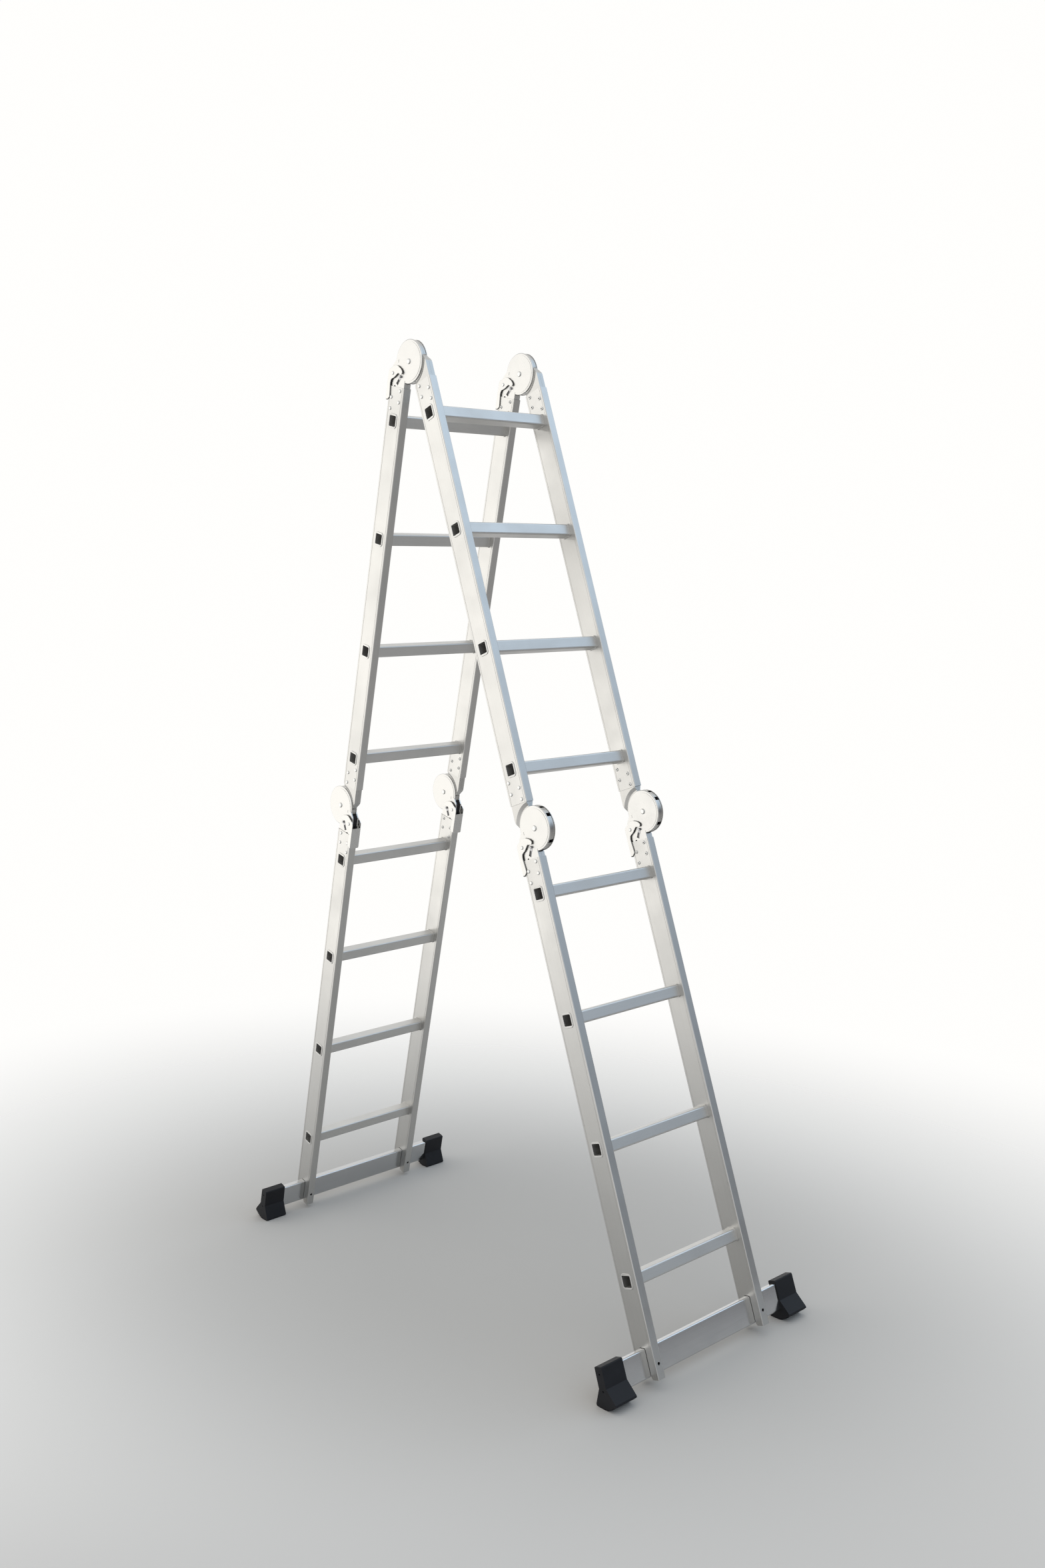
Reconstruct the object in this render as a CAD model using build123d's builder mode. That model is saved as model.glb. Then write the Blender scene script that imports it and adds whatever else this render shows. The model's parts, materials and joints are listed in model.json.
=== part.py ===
"""Multi-position folding ladder: four sections of four rungs, standing as an A-frame.

Millimetres, +Z up. The origin is on the floor under the top hinge, and +X runs along the rungs.
The front leg stands towards -Y and the rear leg towards +Y.
"""
import os
from math import cos, radians, sin

from build123d import *

os.makedirs("parts", exist_ok=True)

# Ladder
RUNG_PITCH = 280.0
RUNGS_PER_SECTION = 4
LEAN = 16.5
LADDER_WIDTH = 356.0
AXIS_OFFSET = 33.0
AXIS_SPACING = RUNGS_PER_SECTION * RUNG_PITCH
FIT_GAP = 0.05
SLIDE_GAP = 0.1
SIDE_CLEARANCE = 0.3
TOUCH = 0.01
HEAD_ROUNDING = 0.9

# Rails
RAIL_DEPTH = 59.0
RAIL_THICKNESS = 21.0
RAIL_WALL = 1.4
RAIL_CORNER = 2.2
RAIL_END = 62.0
RAIL_FOOT = 1184.0
RAIL_FOOT_CHAMFER = 4.0
LIP_FROM_CENTRE = 23.6
LIP_WIDTH = 1.2
LIP_DEPTH = 0.35

# Rungs
RUNG_SIZE = 28.0
RUNG_WALL = 1.6
RUNG_CORNER = 4.0
FLANGE_LENGTH = 34.0
FLANGE_WIDTH = 31.5
FLANGE_CORNER = 8.5
FLANGE_THICKNESS = 1.3
FLANGE_ROUNDING = 0.6
BEAD_SIZE = 31.0
BEAD_CORNER = 5.5
BEAD_LENGTH = 3.4

# Stabiliser bars and their feet
BAR_DEPTH = 16.2
BAR_HEIGHT = 60.0
BAR_WALL = 1.5
BAR_CORNER = 3.5
BAR_TOP = 1118.6
BAR_HALF_LENGTH = 300.0
SLOT_CLEARANCE = 0.9
SLOT_CORNER = 4.0
FOOT_INNER = 245.5
FOOT_OUTER = 305.5
FOOT_TOP = 1112.6
FOOT_TOP_HALF = 10.6
FOOT_WAIST = 1157.5
FOOT_WAIST_HALF = 11.2
FOOT_SOLE = 1188.5
FOOT_EDGE = 1192.0
FOOT_SOLE_HALF = 30.0
FOOT_TIP = 1201.0
FOOT_FLAT = 0.8
FOOT_CORNER = 3.0
TREAD_ANGLE = 5.0
SOLE_GROOVES = 11
SOLE_GROOVE_WIDTH = 1.9
SOLE_GROOVE_DEPTH = 2.2
END_HOLES = (1128.0, 1163.0)
END_HOLE_RADIUS = 2.0
END_HOLE_DEPTH = 4.0
BAR_SCREW = 1152.0
SCREW_HEAD_RADIUS = 3.3
SCREW_RADIUS = 2.4
SCREW_HEAD_LENGTH = 5.0
SCREW_RECESS = 1.6
SOCKET_SIZE = 5.2
SOCKET_DEPTH = 3.5
NUT_RADIUS = 4.6
NUT_LENGTH = 4.0

# Hinges, in their own plane: u runs from the axis along the rail and v towards the axis side
DISC_RADIUS = 50.0
INDEX_RADIUS = 48.5
PLATE_THICKNESS = 3.0
PLATE_OUTER = RAIL_THICKNESS / 2 - RAIL_WALL
PLATE_INNER = PLATE_OUTER - PLATE_THICKNESS
PLATE_HALF_DEPTH = 26.8
PLATE_LENGTH = 119.0
RIM_FILLET = 1.8
FACE_RADIUS = 44.5
FACE_STEP = 0.5
INDEX_INNER = SLIDE_GAP
INDEX_OUTER = PLATE_INNER - SIDE_CLEARANCE
SHOULDER_RADIUS = 53.0
SHOULDER_RUN = 8.0
SHANK_WALL = 3.0
SHANK_ROOT = 30.0
SHANK_CORNER = 2.0
ROOT_BEND = 0.5
HUB_RADIUS = 14.0
RIM_INNER_RADIUS = 34.0
RIM_WEB = 2.8
NOTCH_ANGLES = (212.0, 138.5, 65.0, 32.0)
NOTCH_WIDTH = 9.0
NOTCH_DEPTH = 7.0
AXLE_RADIUS = 4.95
AXLE_HEAD_RADIUS = 6.5
AXLE_HEAD_HEIGHT = 2.4
RIVET_POINTS = ((70.0, -18.5), (96.0, -18.5), (87.0, -50.0), (113.0, -50.0))
RIVET_RADIUS = 2.5
RIVET_HEAD_RADIUS = 4.3
RIVET_HEAD_HEIGHT = 1.9
RIVET_BORE_RADIUS = 1.9
RIVET_BORE_DEPTH = 5.0
STOP_MARK = (4.0, -37.0)
STOP_MARK_SIZE = (7.0, 5.0)
STOP_MARK_DEPTH = 0.5
PEEP_HOLE = (RAIL_END, -42.7)
PEEP_HOLE_RADIUS = 3.0
# Each shank: where it leaves the disc, where it reaches the rail's back edge, and the bend there
OUTER_SHANK = ((2.0, -48.5), 16.0, 6.0)
INNER_SHANK = ((3.0, -47.5), 25.0, 15.0)
GUIDE_SHANK = ((11.0, -51.5), 22.0, 5.0)

# Hinge locks
BOLT_ANGLE = -32.0
BOLT_WIDTH = 7.6
BOLT_NOSE = 49.0
BOLT_TAIL = 68.0
BOLT_HALF_THICKNESS = 5.6
EAR_START = 43.0
EAR_END = 53.0
EAR_OUTER = PLATE_OUTER + SIDE_CLEARANCE
CROSS_PIN = 44.0
CROSS_PIN_RADIUS = 3.0
BOLT_SLOT = (42.0, 66.5)
BOLT_SLOT_WIDTH = 8.4
SPRING_END = 91.5
SPRING_OUTER_RADIUS = 3.6
SPRING_INNER_RADIUS = 2.7
GUIDE_RADIUS = 52.0
GUIDE_HALF_THICKNESS = 6.0
GUIDE_CHANNEL_END = 92.0
GUIDE_END = 99.0
GUIDE_INSET = PLATE_THICKNESS + SIDE_CLEARANCE
LEVER_CLEARANCE = 1.2
LEVER_INNER = RAIL_THICKNESS / 2 + LEVER_CLEARANCE
LEVER_THICKNESS = 1.6
LEVER_OUTER = LEVER_INNER + LEVER_THICKNESS
LEVER_ROUNDING = 0.5
LEVER_STANDOFF = 5.5
LEVER_BACK = -(AXIS_OFFSET + RAIL_DEPTH / 2 + LEVER_STANDOFF)
LEVER_PIVOT = (33.0, -51.0)
LEVER_PIVOT_RADIUS = 3.0
LEVER_COLLAR_RADIUS = 5.0
LEVER_HEAD_RADIUS = 4.2
LEVER_HEAD_HEIGHT = 1.6
WEB_START = 41.0
WEB_END = 95.5
WEB_CORNER = 2.5
CROSS_PIN_END = LEVER_OUTER + 2 * SLIDE_GAP
SPRING_START = BOLT_TAIL + 2 * SLIDE_GAP
# Corners of the release lever's cheeks, each with the radius of its bend
LEVER_OUTLINE = [
    ((32.6, -18.4), 2.2),
    ((26.8, -13.6), 4.5),
    ((19.5, -21.5), 9.0),
    ((13.7, -36.0), 12.0),
    ((13.9, -45.5), 12.0),
    ((26.4, LEVER_BACK), 10.0),
    ((93.5, LEVER_BACK), 2.0),
    ((93.5, -61.5), 3.0),
    ((87.5, -54.6), 3.5),
    ((56.0, -57.8), 14.0),
    ((47.5, -55.8), 7.0),
    ((41.0, -43.5), 8.0),
    ((30.3, -31.5), 3.0),
]

# Worked out from the sizes above
HINGE_X = LADDER_WIDTH / 2 - RAIL_THICKNESS / 2
SIDES = {"left": -HINGE_X, "right": HINGE_X}
LEGS = {"front": -1, "rear": 1}
SOLE_RISE = FOOT_TIP - FOOT_EDGE
SOLE_RADIUS = (FOOT_SOLE_HALF**2 + SOLE_RISE**2) / (2 * SOLE_RISE)
SOLE_CENTRE = FOOT_TIP - SOLE_RADIUS
LEAN_COS = cos(radians(LEAN))
LEAN_SIN = sin(radians(LEAN))
APEX = (
    (AXIS_SPACING + SOLE_CENTRE) * LEAN_COS
    - AXIS_OFFSET * LEAN_SIN
    + SOLE_RADIUS
    - FOOT_FLAT
)
TOP_AXIS = Vector(0, 0, APEX)


def down(side):
    """Direction from the top hinge to the feet of a leg."""
    return Vector(0, side * LEAN_SIN, -LEAN_COS)


def outward(side):
    """Direction square to a leg, away from the space under the ladder."""
    return Vector(0, side * LEAN_COS, LEAN_SIN)


def mid_axis(side):
    return TOP_AXIS + down(side) * AXIS_SPACING + outward(side) * (2 * AXIS_OFFSET)


def section_plane(side, level, x=0.0):
    """Plane of a section's side face: its x axis runs down the leg and its y axis points outward."""
    base = TOP_AXIS + outward(side) * AXIS_OFFSET
    if level == "lower":
        base = base + down(side) * AXIS_SPACING
    return Plane(origin=base + Vector(x, 0, 0), x_dir=down(side), z_dir=(side, 0, 0))


def leaf_plane(axis, along, toward_axis, x):
    """Plane of one hinge leaf: u along its rail and v from the rail towards the axis side."""
    return Plane(origin=axis + Vector(x, 0, 0), x_dir=along, z_dir=along.cross(toward_axis))


# Each hinge pair: its axis, then the directions u and v of its outer and its inner leaf
HINGES = {
    "top_hinge": (TOP_AXIS, (down(1), -outward(1)), (down(-1), -outward(-1))),
    "front_mid_hinge": (mid_axis(-1), (down(-1), outward(-1)), (-down(-1), outward(-1))),
    "rear_mid_hinge": (mid_axis(1), (down(1), outward(1)), (-down(1), outward(1))),
}


def save(builder, name):
    builder.part.label = name
    export_step(builder.part, f"parts/{name}.step")


def polar(radius, angle=BOLT_ANGLE):
    return (radius * cos(radians(angle)), radius * sin(radians(angle)))


def shank_outline(start, shoulder, bend, inset=0.0):
    """Flat outline of a hinge leaf's shank, from inside its disc to its end inside the rail."""
    back = -(AXIS_OFFSET + PLATE_HALF_DEPTH) + inset
    front = -(AXIS_OFFSET - PLATE_HALF_DEPTH) - inset
    end = PLATE_LENGTH - inset
    points = [(0, -SHANK_ROOT), start, (shoulder, back), (end, back), (end, front), (SHANK_ROOT, front)]
    bends = [ROOT_BEND, ROOT_BEND, bend - inset, SHANK_CORNER, SHANK_CORNER, ROOT_BEND]
    FilletPolyline(*points, radius=bends, close=True)


def domed_heads(builder, radius, height, base):
    """Domed heads on both ends of a pin, each standing at the given distance from its middle."""
    for face in (-1, 1):
        with BuildSketch(Plane.XY.offset(face * base)) as head:
            Circle(radius)
        extrude(head.sketch, amount=face * height)
    rims = builder.edges().filter_by(GeomType.CIRCLE)
    rims = rims.filter_by(lambda e: abs(abs(e.center().Z) - base - height) < TOUCH)
    fillet(rims, height * HEAD_ROUNDING)


# Outer leaf: two disc plates whose shanks go into one rail, with front edges folded to meet
PLATE_FRONT = PLATE_HALF_DEPTH - AXIS_OFFSET
with BuildPart() as outer_plates:
    for face in (-1, 1):
        with BuildSketch(Plane.XY.offset(face * PLATE_INNER)):
            Circle(DISC_RADIUS)
        extrude(amount=face * (PLATE_THICKNESS - FACE_STEP))
        rim = outer_plates.edges().filter_by(GeomType.CIRCLE).sort_by(Axis.Z)[0 if face < 0 else -1]
        fillet(rim, RIM_FILLET)
        with BuildSketch(Plane.XY.offset(face * PLATE_INNER)):
            Circle(FACE_RADIUS)
            with BuildLine():
                shank_outline(*OUTER_SHANK)
            make_face()
        extrude(amount=face * PLATE_THICKNESS)
        with BuildSketch(Plane.XY.offset(face * INDEX_INNER)):
            with Locations((PLATE_LENGTH - SHANK_CORNER, PLATE_FRONT)):
                Rectangle(PLATE_LENGTH, PLATE_THICKNESS, align=(Align.MAX, Align.MAX))
            Circle(GUIDE_RADIUS, mode=Mode.SUBTRACT)
        extrude(amount=face * (PLATE_INNER - INDEX_INNER))
        with BuildSketch(Plane.XY.offset(face * PLATE_OUTER)):
            with Locations(STOP_MARK):
                Rectangle(*STOP_MARK_SIZE)
        extrude(amount=-face * STOP_MARK_DEPTH, mode=Mode.SUBTRACT)
    with BuildSketch(Plane.XY.offset(-PLATE_OUTER)):
        Circle(AXLE_RADIUS + FIT_GAP)
        with Locations(*RIVET_POINTS):
            Circle(RIVET_RADIUS + FIT_GAP)
        with Locations(LEVER_PIVOT):
            Circle(LEVER_PIVOT_RADIUS + FIT_GAP)
        with Locations(PEEP_HOLE):
            Circle(PEEP_HOLE_RADIUS)
        with Locations(Location((*polar(sum(BOLT_SLOT) / 2), 0), (0, 0, BOLT_ANGLE))):
            Rectangle(BOLT_SLOT[1] - BOLT_SLOT[0], BOLT_SLOT_WIDTH)
    extrude(amount=2 * PLATE_OUTER, mode=Mode.SUBTRACT)

# Inner leaf: two stampings that meet at the mid plane, with a notched index disc and a sloped shoulder
SHOULDER_TOP = SHOULDER_RADIUS + SHOULDER_RUN
with BuildPart() as inner_leaf:
    for face in (-1, 1):
        base = Plane.XY.offset(face * INDEX_INNER)
        with BuildSketch(base):
            Circle(INDEX_RADIUS)
            with BuildLine():
                shank_outline(*INNER_SHANK)
            make_face()
        extrude(amount=face * (INDEX_OUTER - INDEX_INNER))
        with BuildSketch(base):
            with BuildLine():
                shank_outline(*INNER_SHANK)
            make_face()
            Circle(SHOULDER_RADIUS, mode=Mode.SUBTRACT)
        extrude(amount=face * (PLATE_OUTER - INDEX_INNER))
        with Locations(Location((0, 0, face * INDEX_OUTER), (90 - 90 * face, 0, 0))):
            rise = PLATE_OUTER - INDEX_OUTER
            seat = (Align.CENTER, Align.CENTER, Align.MIN)
            Cone(SHOULDER_RADIUS, SHOULDER_TOP, rise, align=seat, mode=Mode.SUBTRACT)
        with BuildSketch(base):
            with BuildLine():
                shank_outline(*INNER_SHANK, SHANK_WALL)
            make_face()
            Circle(SHOULDER_TOP, mode=Mode.SUBTRACT)
        extrude(amount=face * (PLATE_INNER - INDEX_INNER), mode=Mode.SUBTRACT)
        with BuildSketch(base):
            Circle(RIM_INNER_RADIUS)
            Circle(HUB_RADIUS, mode=Mode.SUBTRACT)
        extrude(amount=face * (RIM_WEB - INDEX_INNER), mode=Mode.SUBTRACT)
    with BuildSketch(Plane.XY.offset(-PLATE_OUTER)):
        Circle(AXLE_RADIUS + FIT_GAP)
        with Locations(*RIVET_POINTS):
            Circle(RIVET_RADIUS + FIT_GAP)
        for angle in NOTCH_ANGLES:
            with Locations(Location((*polar(INDEX_RADIUS, angle), 0), (0, 0, angle))):
                Rectangle(2 * NOTCH_DEPTH, NOTCH_WIDTH)
    extrude(amount=2 * PLATE_OUTER, mode=Mode.SUBTRACT)

# Bolt guide: plastic block between the outer plates, with a channel for the lock bolt
with BuildPart() as bolt_guide:
    with BuildSketch(Plane.XY.offset(-GUIDE_HALF_THICKNESS)):
        with BuildLine():
            shank_outline(*GUIDE_SHANK, GUIDE_INSET)
        make_face()
        with Locations((PLATE_LENGTH, -AXIS_OFFSET)):
            Rectangle(2 * (PLATE_LENGTH - GUIDE_END), RAIL_DEPTH, mode=Mode.SUBTRACT)
        Circle(GUIDE_RADIUS, mode=Mode.SUBTRACT)
        with Locations(Location((*polar(GUIDE_CHANNEL_END / 2), 0), (0, 0, BOLT_ANGLE))):
            Rectangle(GUIDE_CHANNEL_END, BOLT_SLOT_WIDTH, mode=Mode.SUBTRACT)
        with Locations(*RIVET_POINTS):
            Circle(RIVET_RADIUS + FIT_GAP, mode=Mode.SUBTRACT)
        with Locations(LEVER_PIVOT):
            Circle(LEVER_PIVOT_RADIUS + FIT_GAP, mode=Mode.SUBTRACT)
    extrude(amount=2 * GUIDE_HALF_THICKNESS)

# Lock bolt: a flat bar with an ear and a cross pin in the slot of each outer plate
with BuildPart() as lock_bolt:
    for face in (-1, 1):
        with BuildSketch(Plane.XY):
            with Locations(((BOLT_NOSE + BOLT_TAIL) / 2, 0)):
                Rectangle(BOLT_TAIL - BOLT_NOSE, BOLT_WIDTH)
        extrude(amount=face * BOLT_HALF_THICKNESS)
        with BuildSketch(Plane.XY.offset(face * BOLT_HALF_THICKNESS)):
            with Locations(((BOLT_NOSE + EAR_END) / 2, 0)):
                Rectangle(EAR_END - BOLT_NOSE, BOLT_WIDTH)
        extrude(amount=face * (EAR_OUTER - BOLT_HALF_THICKNESS))
        with BuildSketch(Plane.XY.offset(face * (PLATE_INNER + SLIDE_GAP))):
            with Locations(((EAR_START + BOLT_NOSE) / 2, 0)):
                Rectangle(BOLT_NOSE - EAR_START, BOLT_WIDTH)
        extrude(amount=face * (EAR_OUTER - PLATE_INNER - SLIDE_GAP))
        with BuildSketch(Plane.XY.offset(face * EAR_OUTER)):
            with Locations((CROSS_PIN, 0)):
                Circle(CROSS_PIN_RADIUS)
        extrude(amount=face * (CROSS_PIN_END - EAR_OUTER))

# Lock spring: pushes the bolt towards the index disc
with BuildPart() as lock_spring:
    with BuildSketch(Plane.YZ.offset(SPRING_START)):
        Circle(SPRING_OUTER_RADIUS)
        Circle(SPRING_INNER_RADIUS, mode=Mode.SUBTRACT)
    extrude(amount=SPRING_END - SPRING_START)

# Release lever: a channel that straddles the rail's edge and hooks over the bolt's cross pin
with BuildPart() as release_lever:
    for face in (-1, 1):
        with BuildSketch(Plane.XY.offset(face * LEVER_INNER)):
            with BuildLine():
                FilletPolyline(
                    *[point for point, _ in LEVER_OUTLINE],
                    radius=[bend for _, bend in LEVER_OUTLINE],
                    close=True,
                )
            make_face()
            with Locations(LEVER_PIVOT):
                Circle(LEVER_PIVOT_RADIUS + FIT_GAP, mode=Mode.SUBTRACT)
        extrude(amount=face * LEVER_THICKNESS)
        outer_face = release_lever.faces().sort_by(Axis.Z)[0 if face < 0 else -1]
        fillet(outer_face.outer_wire().edges(), LEVER_ROUNDING)
    with BuildSketch(Plane.XZ.offset(-LEVER_BACK - LEVER_THICKNESS)):
        with Locations(((WEB_START + WEB_END) / 2, 0)):
            RectangleRounded(WEB_END - WEB_START, 2 * LEVER_OUTER, WEB_CORNER)
    extrude(amount=LEVER_THICKNESS)

# Axle rivet of a hinge
with BuildPart() as axle:
    with BuildSketch(Plane.XY.offset(-PLATE_OUTER)):
        Circle(AXLE_RADIUS)
    extrude(amount=2 * PLATE_OUTER)
    domed_heads(axle, AXLE_HEAD_RADIUS, AXLE_HEAD_HEIGHT, PLATE_OUTER)

# Pivot of the release lever, with a collar that keeps each cheek off the plate
PIVOT_END = LEVER_OUTER + SLIDE_GAP
with BuildPart() as lever_pivot:
    with BuildSketch(Plane.XY.offset(-PIVOT_END)):
        Circle(LEVER_PIVOT_RADIUS)
    extrude(amount=2 * PIVOT_END)
    for face in (-1, 1):
        with BuildSketch(Plane.XY.offset(face * PLATE_OUTER)):
            Circle(LEVER_COLLAR_RADIUS)
        extrude(amount=face * (LEVER_INNER - SLIDE_GAP - PLATE_OUTER))
    domed_heads(lever_pivot, LEVER_HEAD_RADIUS, LEVER_HEAD_HEIGHT, PIVOT_END)

# Hinge rivet: through the rail and both plates of a leaf, with a bored tail
with BuildPart() as rivet:
    with BuildSketch(Plane.XY.offset(-RAIL_THICKNESS / 2)):
        Circle(RIVET_RADIUS)
    extrude(amount=RAIL_THICKNESS)
    domed_heads(rivet, RIVET_HEAD_RADIUS, RIVET_HEAD_HEIGHT, RAIL_THICKNESS / 2)
    with BuildSketch(Plane.XY.offset(RAIL_THICKNESS / 2 + RIVET_HEAD_HEIGHT)):
        Circle(RIVET_BORE_RADIUS)
    extrude(amount=-RIVET_BORE_DEPTH, mode=Mode.SUBTRACT)

# Rung: a smooth square tube, flanged over the rails' outer faces and beaded at their inner faces
FLANGE_FACE = LADDER_WIDTH / 2 + FLANGE_THICKNESS
BEAD_FACE = LADDER_WIDTH / 2 - RAIL_THICKNESS
BORE = RUNG_SIZE - 2 * RUNG_WALL
with BuildPart() as rung:
    with BuildSketch(Plane.XY.offset(-LADDER_WIDTH / 2)):
        RectangleRounded(RUNG_SIZE, RUNG_SIZE, RUNG_CORNER)
    extrude(amount=LADDER_WIDTH)
    for face in (-1, 1):
        with BuildSketch(Plane.XY.offset(face * LADDER_WIDTH / 2)):
            RectangleRounded(FLANGE_LENGTH, FLANGE_WIDTH, FLANGE_CORNER)
        extrude(amount=face * FLANGE_THICKNESS)
        with BuildSketch(Plane.XY.offset(face * BEAD_FACE)):
            RectangleRounded(BEAD_SIZE, BEAD_SIZE, BEAD_CORNER)
        extrude(amount=-face * BEAD_LENGTH)
    with BuildSketch(Plane.XY.offset(-FLANGE_FACE)):
        RectangleRounded(BORE, BORE, RUNG_CORNER - RUNG_WALL)
    extrude(amount=2 * FLANGE_FACE, mode=Mode.SUBTRACT)
    flange_rims = rung.edges().filter_by(lambda e: abs(abs(e.center().Z) - FLANGE_FACE) < TOUCH)
    fillet(flange_rims, FLANGE_ROUNDING)


def rail_blank(start, end):
    """Hollow rail along X with a thin groove beside each edge of its wide faces."""
    with BuildSketch(Plane.YZ.offset(start)) as profile:
        RectangleRounded(RAIL_DEPTH, RAIL_THICKNESS, RAIL_CORNER)
        inner = (RAIL_DEPTH - 2 * RAIL_WALL, RAIL_THICKNESS - 2 * RAIL_WALL)
        RectangleRounded(*inner, RAIL_CORNER - RAIL_WALL, mode=Mode.SUBTRACT)
        with GridLocations(2 * LIP_FROM_CENTRE, RAIL_THICKNESS, 2, 2):
            Rectangle(LIP_WIDTH, 2 * LIP_DEPTH, mode=Mode.SUBTRACT)
    extrude(profile.sketch, amount=end - start)


def rivet_spots(axis_side, from_end=None):
    """Rivet centres on a rail whose hinge axis lies on the given side, for its top or bottom end."""
    spots = [(u, axis_side * (v + AXIS_OFFSET)) for u, v in RIVET_POINTS]
    if from_end is None:
        return spots
    return [(from_end - u, off) for u, off in spots]


def rail_holes(rivets):
    """Rung openings and rivet holes through both wide faces of a rail."""
    with BuildSketch(Plane.XY.offset(-RAIL_THICKNESS)) as holes:
        for number in range(RUNGS_PER_SECTION):
            with Locations((RUNG_PITCH * (number + 0.5), 0)):
                RectangleRounded(RUNG_SIZE + 2 * FIT_GAP, RUNG_SIZE + 2 * FIT_GAP, RUNG_CORNER)
        with Locations(*rivets):
            Circle(RIVET_RADIUS + FIT_GAP)
    extrude(holes.sketch, amount=2 * RAIL_THICKNESS, mode=Mode.SUBTRACT)


# Upper rail: hinged at both ends, on the inside at the top and on the outside at the bottom
UPPER_RIVETS = rivet_spots(-1) + rivet_spots(1, AXIS_SPACING)
with BuildPart() as upper_rail:
    rail_blank(RAIL_END, AXIS_SPACING - RAIL_END)
    rail_holes(UPPER_RIVETS)

# Lower rail: hinged at the top and slotted at the bottom for the stabiliser bar
LOWER_RIVETS = rivet_spots(1)
SLOT_WIDTH = BAR_DEPTH + 2 * SLOT_CLEARANCE
SLOT_TOP = BAR_TOP - SLOT_CLEARANCE
SLOT_LENGTH = RAIL_FOOT - SLOT_TOP + 2 * SLOT_CORNER
BAR_MIDDLE = BAR_TOP + BAR_HEIGHT / 2
lower_rails = {}
for leg, side in LEGS.items():
    with BuildPart() as lower_rail:
        rail_blank(RAIL_END, RAIL_FOOT)
        rail_holes(LOWER_RIVETS)
        with BuildSketch(Plane.XY.offset(-RAIL_THICKNESS)):
            with Locations((SLOT_TOP + SLOT_LENGTH / 2, 0)):
                RectangleRounded(SLOT_LENGTH, SLOT_WIDTH, SLOT_CORNER)
            with Locations((RAIL_FOOT, -SLOT_WIDTH / 2), (RAIL_FOOT, SLOT_WIDTH / 2)):
                RegularPolygon(RAIL_FOOT_CHAMFER, 4)
        extrude(amount=2 * RAIL_THICKNESS, mode=Mode.SUBTRACT)
        with BuildSketch(Plane.XZ):
            with Locations((BAR_SCREW, 0)):
                Circle(SCREW_HEAD_RADIUS + FIT_GAP)
        extrude(amount=side * RAIL_DEPTH, mode=Mode.SUBTRACT)
    lower_rails[leg] = lower_rail

# Stabiliser bar: a flat tube through the slots of both rails
with BuildPart() as stabiliser_bar:
    with BuildSketch(Plane.XY.offset(-BAR_HALF_LENGTH)):
        with Locations((BAR_MIDDLE, 0)):
            RectangleRounded(BAR_HEIGHT, BAR_DEPTH, BAR_CORNER)
            inner = (BAR_HEIGHT - 2 * BAR_WALL, BAR_DEPTH - 2 * BAR_WALL)
            RectangleRounded(*inner, BAR_CORNER - BAR_WALL, mode=Mode.SUBTRACT)
    extrude(amount=2 * BAR_HALF_LENGTH)
    with BuildSketch(Plane.XZ.offset(-RAIL_DEPTH)):
        with Locations((BAR_SCREW, -HINGE_X), (BAR_SCREW, HINGE_X)):
            Circle(SCREW_RADIUS + FIT_GAP)
    extrude(amount=2 * RAIL_DEPTH, mode=Mode.SUBTRACT)

# Bar screw: socket head sunk in the rail's edge, with its nut behind the bar
HEAD_FACE = RAIL_DEPTH / 2 - SCREW_RECESS
NUT_FACE = BAR_DEPTH / 2 + FIT_GAP
with BuildPart() as bar_screw:
    with BuildSketch(Plane.XZ.offset(-HEAD_FACE)):
        Circle(SCREW_HEAD_RADIUS)
    extrude(amount=SCREW_HEAD_LENGTH)
    with BuildSketch(Plane.XZ.offset(-HEAD_FACE)):
        RegularPolygon(SOCKET_SIZE / 2, 6)
    extrude(amount=SOCKET_DEPTH, mode=Mode.SUBTRACT)
    with BuildSketch(Plane.XZ.offset(SCREW_HEAD_LENGTH - HEAD_FACE)):
        Circle(SCREW_RADIUS)
    extrude(amount=HEAD_FACE - SCREW_HEAD_LENGTH + NUT_FACE + NUT_LENGTH)
    with BuildSketch(Plane.XZ.offset(NUT_FACE)):
        RegularPolygon(NUT_RADIUS, 6)
    extrude(amount=NUT_LENGTH)

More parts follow.
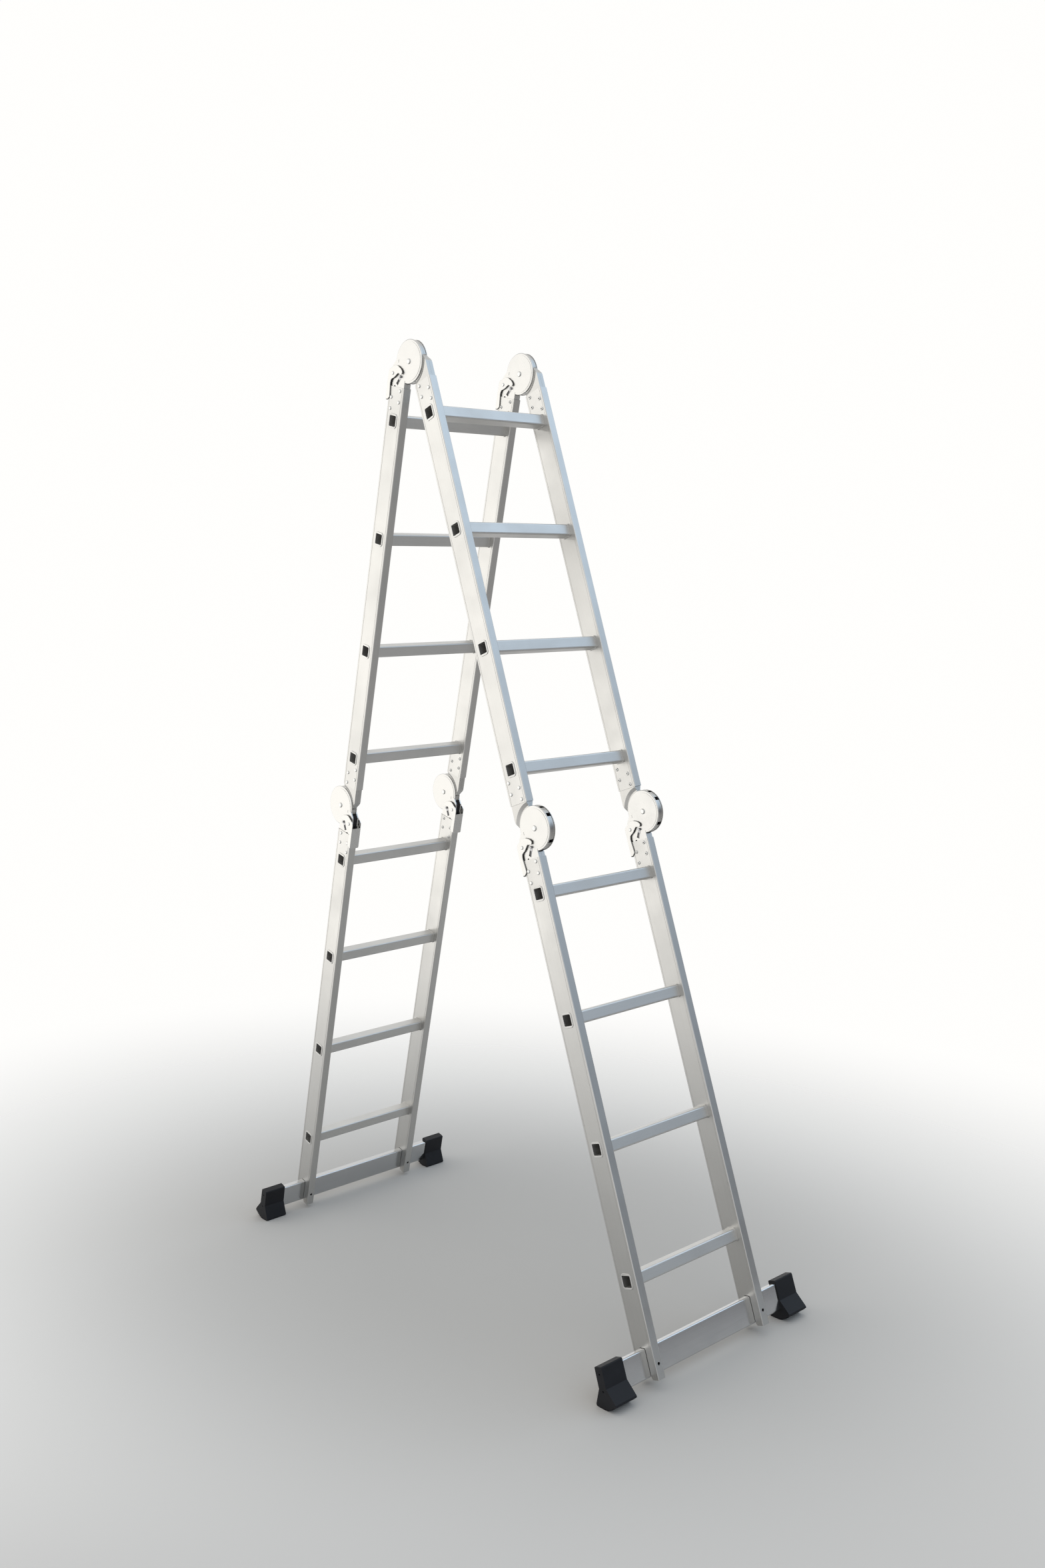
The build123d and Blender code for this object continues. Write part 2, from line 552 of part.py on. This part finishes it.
# Rubber foot: a boot over the bar's end, with a waist, a flared sole and a curved grooved tread
with BuildPart() as right_foot:
    with BuildSketch(Plane.XY.offset(FOOT_INNER)):
        with BuildLine():
            Polyline(
                (FOOT_EDGE, -FOOT_SOLE_HALF),
                (FOOT_SOLE, -FOOT_SOLE_HALF),
                (FOOT_WAIST, -FOOT_WAIST_HALF),
                (FOOT_TOP, -FOOT_TOP_HALF),
                (FOOT_TOP, FOOT_TOP_HALF),
                (FOOT_WAIST, FOOT_WAIST_HALF),
                (FOOT_SOLE, FOOT_SOLE_HALF),
                (FOOT_EDGE, FOOT_SOLE_HALF),
            )
            ThreePointArc((FOOT_EDGE, FOOT_SOLE_HALF), (FOOT_TIP, 0), (FOOT_EDGE, -FOOT_SOLE_HALF))
        make_face()
    extrude(amount=FOOT_OUTER - FOOT_INNER)
    top_edges = right_foot.edges().filter_by(Axis.Z).group_by(Axis.X)[0]
    fillet(top_edges, FOOT_CORNER)
    with BuildSketch(Plane.XY.offset(FOOT_INNER)):
        with Locations((BAR_MIDDLE, 0)):
            pocket = (BAR_HEIGHT + 2 * FIT_GAP, BAR_DEPTH + 2 * FIT_GAP)
            RectangleRounded(*pocket, BAR_CORNER)
    extrude(amount=BAR_HALF_LENGTH - FOOT_INNER + FIT_GAP, mode=Mode.SUBTRACT)
    with BuildSketch(Plane.XY.offset(FOOT_INNER)):
        for number in range(SOLE_GROOVES):
            angle = TREAD_ANGLE * (number - (SOLE_GROOVES - 1) / 2)
            edge = polar(SOLE_RADIUS, angle)
            with Locations(Location((SOLE_CENTRE + edge[0], edge[1], 0), (0, 0, angle))):
                Rectangle(2 * SOLE_GROOVE_DEPTH, SOLE_GROOVE_WIDTH)
    extrude(amount=FOOT_OUTER - FOOT_INNER, mode=Mode.SUBTRACT)
    with BuildSketch(Plane.XY.offset(FOOT_OUTER)):
        with Locations(*[(along, 0) for along in END_HOLES]):
            Circle(END_HOLE_RADIUS)
    extrude(amount=-END_HOLE_DEPTH, mode=Mode.SUBTRACT)

# Rails, rungs, stabiliser bars and feet in their places
for leg, side in LEGS.items():
    for place, x in SIDES.items():
        with BuildPart() as rail:
            add(upper_rail.part.moved(section_plane(side, "upper", x).location))
        save(rail, f"{leg}_upper_{place}_rail")
        with BuildPart() as rail:
            add(lower_rails[leg].part.moved(section_plane(side, "lower", x).location))
        save(rail, f"{leg}_lower_{place}_rail")
    for level in ("upper", "lower"):
        for number in range(RUNGS_PER_SECTION):
            spot = section_plane(side, level).location * Pos(RUNG_PITCH * (number + 0.5), 0, 0)
            with BuildPart() as placed_rung:
                add(rung.part.moved(spot))
            save(placed_rung, f"{leg}_{level}_rung_{number + 1}")
    spot = section_plane(side, "lower").location
    with BuildPart() as bar:
        add(stabiliser_bar.part.moved(spot))
    save(bar, f"{leg}_stabiliser_bar")
    with BuildPart() as feet:
        add(right_foot.part.moved(spot))
        add(mirror(right_foot.part, about=Plane.XY, mode=Mode.PRIVATE).moved(spot))
        split(bisect_by=Plane.XY, keep=Keep.TOP)
    save(feet, f"{leg}_feet")

# Hinge parts in their places, one node for the two hinges of a pair where they move together
lock_spot = Location((0, 0, 0), (0, 0, BOLT_ANGLE))
pivot_spot = Location((*LEVER_PIVOT, 0))
for hinge, (axis, outer_leaf, inner_side) in HINGES.items():
    pairs = {
        "outer_plates": (outer_plates.part, outer_leaf, Location()),
        "inner_leaves": (inner_leaf.part, inner_side, Location()),
        "bolt_guides": (bolt_guide.part, outer_leaf, Location()),
        "lock_springs": (lock_spring.part, outer_leaf, lock_spot),
    }
    for name, (shape, leaf, spot) in pairs.items():
        with BuildPart() as pair:
            for x in SIDES.values():
                add(shape.moved(leaf_plane(axis, *leaf, x).location * spot))
        save(pair, f"{hinge}_{name}")
    with BuildPart() as pins:
        for x in SIDES.values():
            spot = leaf_plane(axis, *outer_leaf, x).location
            add(axle.part.moved(spot))
            add(lever_pivot.part.moved(spot * pivot_spot))
    save(pins, f"{hinge}_pins")
    for place, x in SIDES.items():
        spot = leaf_plane(axis, *outer_leaf, x).location
        with BuildPart() as lever:
            add(release_lever.part.moved(spot))
        save(lever, f"{hinge}_{place}_lever")
        with BuildPart() as bolt:
            add(lock_bolt.part.moved(spot * lock_spot))
        save(bolt, f"{hinge}_{place}_lock_bolt")

# Fasteners of each section: its hinge rivets, tails inward, and the bar screws of the lower ones
for leg, side in LEGS.items():
    for level, rivets in (("upper", UPPER_RIVETS), ("lower", LOWER_RIVETS)):
        with BuildPart() as fasteners:
            for x in SIDES.values():
                spot = section_plane(side, level, x).location
                tail_turn = 0 if x * side < 0 else 180
                for along, off in rivets:
                    add(rivet.part.moved(spot * Location((along, off, 0), (tail_turn, 0, 0))))
                if level == "lower":
                    turned = Location((BAR_SCREW, 0, 0), (0, 0, 90 + 90 * side))
                    add(bar_screw.part.moved(spot * turned))
        save(fasteners, f"{leg}_{level}_fasteners")
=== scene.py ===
import json
import math

import bpy
from mathutils import Matrix, Vector

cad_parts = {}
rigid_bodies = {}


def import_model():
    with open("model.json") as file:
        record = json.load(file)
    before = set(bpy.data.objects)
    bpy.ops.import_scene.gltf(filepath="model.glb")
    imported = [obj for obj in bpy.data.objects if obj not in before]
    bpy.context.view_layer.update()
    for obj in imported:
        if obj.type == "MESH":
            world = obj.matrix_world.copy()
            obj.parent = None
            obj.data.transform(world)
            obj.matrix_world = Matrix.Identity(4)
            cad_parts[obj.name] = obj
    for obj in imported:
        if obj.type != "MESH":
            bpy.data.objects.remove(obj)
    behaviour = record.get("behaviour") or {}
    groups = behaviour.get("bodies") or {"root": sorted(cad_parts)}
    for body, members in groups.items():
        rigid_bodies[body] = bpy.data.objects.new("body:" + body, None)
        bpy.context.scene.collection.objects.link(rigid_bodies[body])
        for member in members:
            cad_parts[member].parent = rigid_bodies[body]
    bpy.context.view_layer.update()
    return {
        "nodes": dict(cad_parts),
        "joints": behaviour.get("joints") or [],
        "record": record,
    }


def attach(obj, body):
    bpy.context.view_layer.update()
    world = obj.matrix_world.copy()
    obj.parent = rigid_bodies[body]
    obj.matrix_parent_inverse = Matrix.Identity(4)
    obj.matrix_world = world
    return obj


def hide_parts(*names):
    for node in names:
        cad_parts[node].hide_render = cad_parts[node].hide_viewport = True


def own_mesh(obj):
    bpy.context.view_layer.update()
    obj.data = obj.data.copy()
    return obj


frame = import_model()
NODES = frame["nodes"]
JOINTS = {joint["name"]: joint for joint in frame["joints"]}
SLOT_OF = {row["node"]: row["material_slot"] for row in frame["record"]["subparts"]}
APEX = Vector(JOINTS["top_fold"]["pos_m"])

# The joint at each pair of hinges, and the sign of X at each hinge of a pair
HINGE_FOLDS = {
    "top_hinge": "top_fold",
    "front_mid_hinge": "front_mid_fold",
    "rear_mid_hinge": "rear_mid_fold",
}
SIDES = {"left": -1, "right": 1}

# The lean of each leg, as a turn about X that stands it upright
LEAN = math.radians(16.5)
LEG_TURNS = {"front": LEAN, "rear": -LEAN}

# The photograph's camera, measured from the top hinge in metres, degrees and image pixels
CAMERA_FROM_APEX = Vector((-2.1888, -2.7151, -0.6307))
CAMERA_YAW = math.radians(40.358)
CAMERA_PITCH = math.radians(-6.046)
CAMERA_ROLL = math.radians(-2.189)
FOCAL_PIXELS = 2141.2
IMAGE_HEIGHT = 2352
SENSOR = 36.0

# Colours of the metals, plastic and rubber
RAIL_COLOR = (0.56, 0.555, 0.54)
RUNG_COLOR = (0.63, 0.625, 0.61)
BAR_COLOR = (0.60, 0.605, 0.61)
PLATE_COLOR = (0.61, 0.605, 0.59)
LEAF_COLOR = (0.50, 0.495, 0.48)
# Painted shade in the notches of the hinges' index discs
PAINTED_NOTCH_SHADE = (0.020, 0.018, 0.030)
BOLT_COLOR = (0.42, 0.42, 0.43)
RIVET_COLOR = (0.64, 0.64, 0.63)
DARK_SCREW_COLOR = (0.015, 0.015, 0.017)
GUIDE_COLOR = (0.010, 0.010, 0.012)
GUIDE_DUST = (0.022, 0.022, 0.024)
RUBBER_COLOR = (0.005, 0.0055, 0.0075)
RUBBER_DUST = (0.013, 0.014, 0.018)

# Their roughness, and how far it swings down and up with the clouds or patches on a surface
RAIL_ROUGHNESS = 0.33
RUNG_ROUGHNESS = 0.45
BAR_ROUGHNESS = 0.17
PLATE_ROUGHNESS = 0.30
LEVER_ROUGHNESS = 0.27
LEAF_ROUGHNESS = 0.28
BOLT_ROUGHNESS = 0.34
RIVET_ROUGHNESS = 0.24
GUIDE_ROUGHNESS = 0.42
RUBBER_ROUGHNESS = 0.50
EXTRUDED_SWING = (0.05, 0.06)
PRESSED_SWING = (0.04, 0.08)
MOULDED_SWING = (0.06, 0.10)

# Texture scales, per metre, and the stretches that draw lines along Z or along X
ALONG_RAIL = (700, 700, 3.0)
ALONG_RUNG = (4.0, 600, 600)
WAVE_SCALE = 7.0
CLOUD_SCALE = 9.0
SPECK_SCALE = 420.0
GRAIN_SCALE = 1600.0
PLATING_SCALE = 38.0
PEEL_SCALE = 900.0
DUST_SCALE = 30.0
GUIDE_PORES = 1500.0
RUBBER_PORES = 900.0

# Noise values over which a mark sets in, the most of it that shows, and its share of the plain colour
NOISE_SPAN = (0.3, 0.7)
LINE_SHADE = 0.95
CLOUD_SPAN = (0.35, 0.7)
CLOUD_MOST = 0.5
CLOUD_SHADE = 0.90
SPECK_SPAN = (0.66, 0.74)
SPECK_MOST = 0.35
SPECK_SHADE = 0.6
PLATING_SHADE = 0.92
DUST_SPAN = (0.42, 0.75)
DUST_MOST = 0.6

# Heights of the bar screws and of the lowest hinge rivets, in metres, with room on both sides
SCREWS_BELOW = 0.40
RIVETS_ABOVE = 0.45

# Distances from a hinge's axis over which its index disc turns from painted shade in the notches to
# bright, in metres
NOTCH_SHADE_EDGE = (0.0470, 0.0481)

# Lock springs, in metres
WIRE_RADIUS = 0.00045
SPRING_TURNS = 9
STEPS_A_TURN = 16

# Floor disc, in metres
FLOOR_RADIUS = 2.3
FLOOR_CORNERS = 128
FLOOR_FADE_START = 0.6
FLOOR_STRETCH = (1.0, 0.72, 1.0)
# The span over which the painted shade under the ladder gives way to the floor's own colour, then the
# floor's colour and the colour of the painted shade
PAINTED_SHADE_SPAN = (0.2, 1.4)
FLOOR_COLOR = (0.57, 0.56, 0.545)
PAINTED_SHADE_COLOR = (0.41, 0.40, 0.385)

# Studio: its colours, the direction of its dark side, and where one colour goes over into the next,
# by the cosine of the angle to the dark side or by the height of a direction of length 1
WHITE = (1.0, 0.995, 0.98)
BLUE_SKY = (1.04, 1.26, 1.50)
LOW_GREY = (0.20, 0.20, 0.21)
PALE_GREY = (0.46, 0.455, 0.45)
KEY_COLOR = (1.0, 0.965, 0.90)
DARK_SIDE = Vector((0.62, -0.78, 0.0))
WHITE_TO_DARK = (0.15, 0.75)
LOW_TO_BLUE = (-0.02, 0.55)
LOW_TO_PALE = (-0.05, -0.28)
ALL_TO_PALE = (-0.40, -0.60)


def rgba(color, share=1.0):
    return (*[share * part for part in color], 1.0)


class Nodes:
    """A node tree that is put together one node at a time."""

    def __init__(self, tree):
        self.tree = tree

    def put(self, socket, value):
        if isinstance(value, bpy.types.NodeSocket):
            self.tree.links.new(value, socket)
        else:
            socket.default_value = value

    def node(self, kind, settings=None, inputs=None):
        made = self.tree.nodes.new(kind)
        for key, value in (settings or {}).items():
            setattr(made, key, value)
        for key, value in (inputs or {}).items():
            self.put(made.inputs[key], value)
        return made

    def place(self):
        """Object coordinates."""
        return self.node("ShaderNodeTexCoord").outputs["Object"]

    def coordinates(self, turn=0.0, stretch=(1, 1, 1)):
        """Object coordinates turned about X and then scaled along each axis."""
        turned = self.node("ShaderNodeMapping", None, {"Vector": self.place(), "Rotation": (turn, 0, 0)})
        scaled = self.node("ShaderNodeMapping", None, {"Vector": turned.outputs[0], "Scale": stretch})
        return scaled.outputs[0]

    def height(self, vector):
        """The Z part of a vector."""
        return self.node("ShaderNodeSeparateXYZ", None, {0: vector}).outputs["Z"]

    def vector_math(self, operation, *vectors):
        return self.node("ShaderNodeVectorMath", {"operation": operation}, dict(enumerate(vectors)))

    def noise(self, vector, scale, detail=3.0, roughness=0.55):
        inputs = {"Vector": vector, "Scale": scale, "Detail": detail, "Roughness": roughness}
        return self.node("ShaderNodeTexNoise", None, inputs).outputs["Fac"]

    def spread(self, value, span, to_span=(0.0, 1.0), smooth=False):
        """The value's span, spread over another span."""
        inputs = {"Value": value, "From Min": span[0], "From Max": span[1]}
        inputs.update({"To Min": to_span[0], "To Max": to_span[1]})
        shape = "SMOOTHSTEP" if smooth else "LINEAR"
        return self.node("ShaderNodeMapRange", {"interpolation_type": shape}, inputs).outputs["Result"]

    def blend(self, share, first, second):
        """A colour between two others."""
        made = self.node("ShaderNodeMix", {"data_type": "RGBA"}, {0: share, 6: first, 7: second})
        return made.outputs[2]

    def bump(self, height, strength, distance, normal=None):
        inputs = {"Height": height, "Strength": strength, "Distance": distance}
        if normal:
            inputs["Normal"] = normal
        return self.node("ShaderNodeBump", None, inputs).outputs[0]


class Finish(Nodes):
    """The nodes of a new material, with its surface shader."""

    def __init__(self, name):
        self.material = bpy.data.materials.new(name)
        self.material.use_nodes = True
        super().__init__(self.material.node_tree)
        self.shader = self.tree.nodes["Principled BSDF"]

    def surface(self, **inputs):
        for key, value in inputs.items():
            self.put(self.shader.inputs[key.replace("_", " ")], value)

    def base_color(self):
        """The colour that the surface has so far."""
        return self.shader.inputs["Base Color"].links[0].from_socket

    def dullness(self, noise, roughness, swing):
        """A roughness that swings down and up with a noise."""
        return self.spread(noise, NOISE_SPAN, (roughness - swing[0], roughness + swing[1]))


def extruded_metal(name, color, roughness, turn, stretch):
    """Drawn aluminium: faint lines along it, dull clouds, a soft waviness and small dark specks."""
    finish = Finish(name)
    plain = finish.coordinates(turn)
    lines = finish.noise(finish.coordinates(turn, stretch), 1.0, detail=4.0)
    clouds = finish.noise(plain, CLOUD_SCALE)
    waves = finish.noise(plain, WAVE_SCALE, detail=1.0)
    specks = finish.noise(plain, SPECK_SCALE, detail=2.0)
    grain = finish.noise(plain, GRAIN_SCALE, detail=1.0)
    lined = finish.spread(lines, NOISE_SPAN)
    clouded = finish.spread(clouds, CLOUD_SPAN, (0.0, CLOUD_MOST))
    specked = finish.spread(specks, SPECK_SPAN, (0.0, SPECK_MOST))
    base = finish.blend(lined, rgba(color, LINE_SHADE), rgba(color))
    base = finish.blend(clouded, base, rgba(color, CLOUD_SHADE))
    base = finish.blend(specked, base, rgba(color, SPECK_SHADE))
    dull = finish.dullness(clouds, roughness, EXTRUDED_SWING)
    normal = finish.bump(waves, strength=0.10, distance=0.004)
    normal = finish.bump(lines, strength=0.05, distance=0.0004, normal=normal)
    normal = finish.bump(grain, strength=0.06, distance=0.0002, normal=normal)
    finish.surface(Base_Color=base, Metallic=1.0, Roughness=dull, Normal=normal)
    return finish


def pressed_steel(name, color, roughness):
    """Zinc-plated pressed steel with a faint orange peel and cloudy patches."""
    finish = Finish(name)
    plain = finish.coordinates()
    clouds = finish.noise(plain, PLATING_SCALE, detail=4.0)
    peel = finish.noise(plain, PEEL_SCALE, detail=2.0)
    base = finish.blend(finish.spread(clouds, NOISE_SPAN), rgba(color, PLATING_SHADE), rgba(color))
    dull = finish.dullness(clouds, roughness, PRESSED_SWING)
    normal = finish.bump(peel, strength=0.05, distance=0.0003)
    finish.surface(Base_Color=base, Metallic=1.0, Roughness=dull, Normal=normal)
    return finish


def moulded(name, color, dust, roughness, pore_scale):
    """Moulded black rubber or plastic with a fine grain and pale dust in patches."""
    finish = Finish(name)
    plain = finish.coordinates()
    patches = finish.noise(plain, DUST_SCALE, detail=5.0, roughness=0.65)
    pores = finish.noise(plain, pore_scale, detail=2.0)
    dusty = finish.spread(patches, DUST_SPAN, (0.0, DUST_MOST))
    base = finish.blend(dusty, rgba(color), rgba(dust))
    dull = finish.dullness(patches, roughness, MOULDED_SWING)
    normal = finish.bump(pores, strength=0.25, distance=0.0006)
    finish.surface(Base_Color=base, Roughness=dull, Normal=normal, Specular_IOR_Level=0.25)
    return finish


def fastener_steel(name):
    """Bright rivets by the hinges, and near-black screws in the rails' feet."""
    finish = pressed_steel(name, RIVET_COLOR, RIVET_ROUGHNESS)
    # Fasteners below the screws' height are coloured near black
    by_height = finish.spread(finish.height(finish.place()), (SCREWS_BELOW, RIVETS_ABOVE))
    finish.surface(Base_Color=finish.blend(by_height, rgba(DARK_SCREW_COLOR), finish.base_color()))
    return finish


def leaf_steel(name, axis):
    """Zinc-plated leaves, with painted shade in the notches of their index discs."""
    finish = pressed_steel(name, LEAF_COLOR, LEAF_ROUGHNESS)
    arm = finish.vector_math("SUBTRACT", finish.place(), axis).outputs[0]
    arm = finish.vector_math("MULTIPLY", arm, (0, 1, 1)).outputs[0]
    radius = finish.vector_math("LENGTH", arm).outputs["Value"]
    # Painted shade: near black inside the notches' radius
    by_radius = finish.spread(radius, NOTCH_SHADE_EDGE)
    finish.surface(Base_Color=finish.blend(by_radius, rgba(PAINTED_NOTCH_SHADE), finish.base_color()))
    return finish


# The finish of each material slot, and in its place of one leg's share of a slot or of one node
FINISHES = {
    "hinge_steel": pressed_steel("hinge_steel", PLATE_COLOR, PLATE_ROUGHNESS),
    "lever_steel": pressed_steel("lever_steel", PLATE_COLOR, LEVER_ROUGHNESS),
    "lock_steel": pressed_steel("lock_steel", BOLT_COLOR, BOLT_ROUGHNESS),
    "rivet_steel": fastener_steel("rivet_steel"),
    "guide_plastic": moulded("guide_plastic", GUIDE_COLOR, GUIDE_DUST, GUIDE_ROUGHNESS, GUIDE_PORES),
    "foot_rubber": moulded("foot_rubber", RUBBER_COLOR, RUBBER_DUST, RUBBER_ROUGHNESS, RUBBER_PORES),
}
for hinge, fold in HINGE_FOLDS.items():
    name = f"{hinge}_inner_leaves"
    FINISHES[name] = leaf_steel(name, JOINTS[fold]["pos_m"])
for leg, turn in LEG_TURNS.items():
    for slot, color, roughness, stretch in (
        ("rail_aluminium", RAIL_COLOR, RAIL_ROUGHNESS, ALONG_RAIL),
        ("rung_aluminium", RUNG_COLOR, RUNG_ROUGHNESS, ALONG_RUNG),
        ("bar_aluminium", BAR_COLOR, BAR_ROUGHNESS, ALONG_RUNG),
    ):
        name = f"{slot}_{leg}"
        FINISHES[name] = extruded_metal(name, color, roughness, turn, stretch)

for name, node in NODES.items():
    slot = SLOT_OF[name]
    leg = name.split("_")[0]
    chosen = FINISHES.get(name) or FINISHES.get(slot) or FINISHES[f"{slot}_{leg}"]
    node.data.materials.clear()
    node.data.materials.append(chosen.material)


def reach(corners, direction):
    """How far some corners reach along a direction, at the least and at the most."""
    distances = [corner.dot(direction) for corner in corners]
    return min(distances), max(distances)


def lock_spring(name, node, side, slide):
    """A coil of round wire in the place of one lock spring."""
    along = Vector(slide["axis"])
    across = Vector((1, 0, 0))
    upright = along.cross(across)
    corners = [vertex.co for vertex in NODES[node].data.vertices if vertex.co.x * side > 0]
    start, end = reach(corners, along)
    left, right = reach(corners, across)
    low, high = reach(corners, upright)
    middle = (left + right) / 2
    level = (low + high) / 2
    radius = (right - left) / 2 - WIRE_RADIUS
    curve = bpy.data.curves.new(name, "CURVE")
    curve.dimensions = "3D"
    curve.bevel_depth = WIRE_RADIUS
    curve.bevel_resolution = 2
    curve.use_fill_caps = True
    wire = curve.splines.new("POLY")
    steps = SPRING_TURNS * STEPS_A_TURN
    wire.points.add(steps)
    for step, point in enumerate(wire.points):
        angle = math.tau * step / STEPS_A_TURN
        share = step / steps
        place = along * (start + WIRE_RADIUS + share * (end - start - 2 * WIRE_RADIUS))
        place += across * (middle + radius * math.cos(angle))
        place += upright * (level + radius * math.sin(angle))
        point.co = (*place, 1)
    bent = bpy.data.objects.new(name, curve)
    spring = bpy.data.objects.new(name, bpy.data.meshes.new_from_object(bent))
    bpy.data.objects.remove(bent)
    bpy.context.scene.collection.objects.link(spring)
    spring.data.materials.clear()
    spring.data.materials.append(FINISHES["lock_steel"].material)
    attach(spring, slide["parent"])
    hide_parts(node)
    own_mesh(spring)


for hinge in HINGE_FOLDS:
    for place, side in SIDES.items():
        slide = JOINTS[f"{hinge}_{place}_lock_bolt_slide"]
        lock_spring(f"{hinge}_{place}_lock_spring", f"{hinge}_lock_springs", side, slide)


def add_floor():
    """A disc under the ladder, with painted shade in its middle, that fades into the white studio."""
    radius = FLOOR_RADIUS / FLOOR_STRETCH[1]
    bpy.ops.mesh.primitive_circle_add(vertices=FLOOR_CORNERS, radius=radius, fill_type="TRIFAN")
    floor = bpy.context.object
    floor.name = "floor"
    ground = Finish("floor")
    where = ground.coordinates(stretch=FLOOR_STRETCH)
    distance = ground.vector_math("LENGTH", where).outputs["Value"]
    fade = ground.spread(distance, (FLOOR_FADE_START, FLOOR_RADIUS), (1.0, 0.0), smooth=True)
    # Painted shade: the floor is darker in its middle, under the ladder
    pale = ground.spread(distance, PAINTED_SHADE_SPAN, smooth=True)
    base = ground.blend(pale, rgba(PAINTED_SHADE_COLOR), rgba(FLOOR_COLOR))
    ground.surface(Base_Color=base, Roughness=0.8, Specular_IOR_Level=0.1, Alpha=fade)
    floor.data.materials.append(ground.material)


def add_studio():
    """White all round and pale grey steeply below, with blue over grey on the dark side."""
    world = bpy.data.worlds.new("studio")
    bpy.context.scene.world = world
    world.use_nodes = True
    sky = Nodes(world.node_tree)
    direction = sky.node("ShaderNodeTexCoord").outputs["Generated"]
    towards_dark = sky.vector_math("DOT_PRODUCT", direction, DARK_SIDE).outputs["Value"]
    height = sky.height(direction)
    low = sky.blend(sky.spread(height, LOW_TO_PALE, smooth=True), rgba(LOW_GREY), rgba(PALE_GREY))
    dark = sky.blend(sky.spread(height, LOW_TO_BLUE, smooth=True), low, rgba(BLUE_SKY))
    around = sky.blend(sky.spread(towards_dark, WHITE_TO_DARK, smooth=True), rgba(WHITE), dark)
    studio = sky.blend(sky.spread(height, ALL_TO_PALE, smooth=True), around, rgba(PALE_GREY))
    sky.put(world.node_tree.nodes["Background"].inputs["Color"], studio)


def add_softbox(name, place, target, size, radiance, color):
    """An area lamp at one place that looks at another, with the brightness of its face."""
    lamp = bpy.data.lights.new(name, "AREA")
    lamp.shape = "RECTANGLE"
    lamp.size, lamp.size_y = size
    lamp.energy = radiance * math.pi * size[0] * size[1]
    lamp.color = color
    made = bpy.data.objects.new(name, lamp)
    bpy.context.scene.collection.objects.link(made)
    made.location = place
    made.rotation_euler = (Vector(target) - Vector(place)).to_track_quat("-Z", "Y").to_euler()


def add_camera():
    """The photograph's camera."""
    camera_data = bpy.data.cameras.new("camera")
    camera_data.sensor_width = SENSOR
    camera_data.lens = FOCAL_PIXELS / IMAGE_HEIGHT * SENSOR
    camera = bpy.data.objects.new("camera", camera_data)
    bpy.context.scene.collection.objects.link(camera)
    forward = Vector((
        math.sin(CAMERA_YAW) * math.cos(CAMERA_PITCH),
        math.cos(CAMERA_YAW) * math.cos(CAMERA_PITCH),
        math.sin(CAMERA_PITCH),
    ))
    level = Vector((math.cos(CAMERA_YAW), -math.sin(CAMERA_YAW), 0.0))
    upright = level.cross(forward)
    right = level * math.cos(CAMERA_ROLL) + upright * math.sin(CAMERA_ROLL)
    up = upright * math.cos(CAMERA_ROLL) - level * math.sin(CAMERA_ROLL)
    turned = Matrix((right, up, -forward)).transposed()
    camera.matrix_world = Matrix.Translation(APEX + CAMERA_FROM_APEX) @ turned.to_4x4()
    bpy.context.scene.camera = camera


add_floor()
add_studio()
add_softbox(
    "key",
    place=(-2.75, 3.15, 1.7),
    target=(0, 0, 1.7),
    size=(3.6, 3.8),
    radiance=0.80,
    color=KEY_COLOR,
)
add_softbox(
    "front",
    place=(-1.75, -4.2, 4.3),
    target=(0, 0, 1.2),
    size=(2.5, 2.0),
    radiance=0.5,
    color=WHITE,
)
add_camera()

bpy.context.scene.view_settings.view_transform = "Standard"
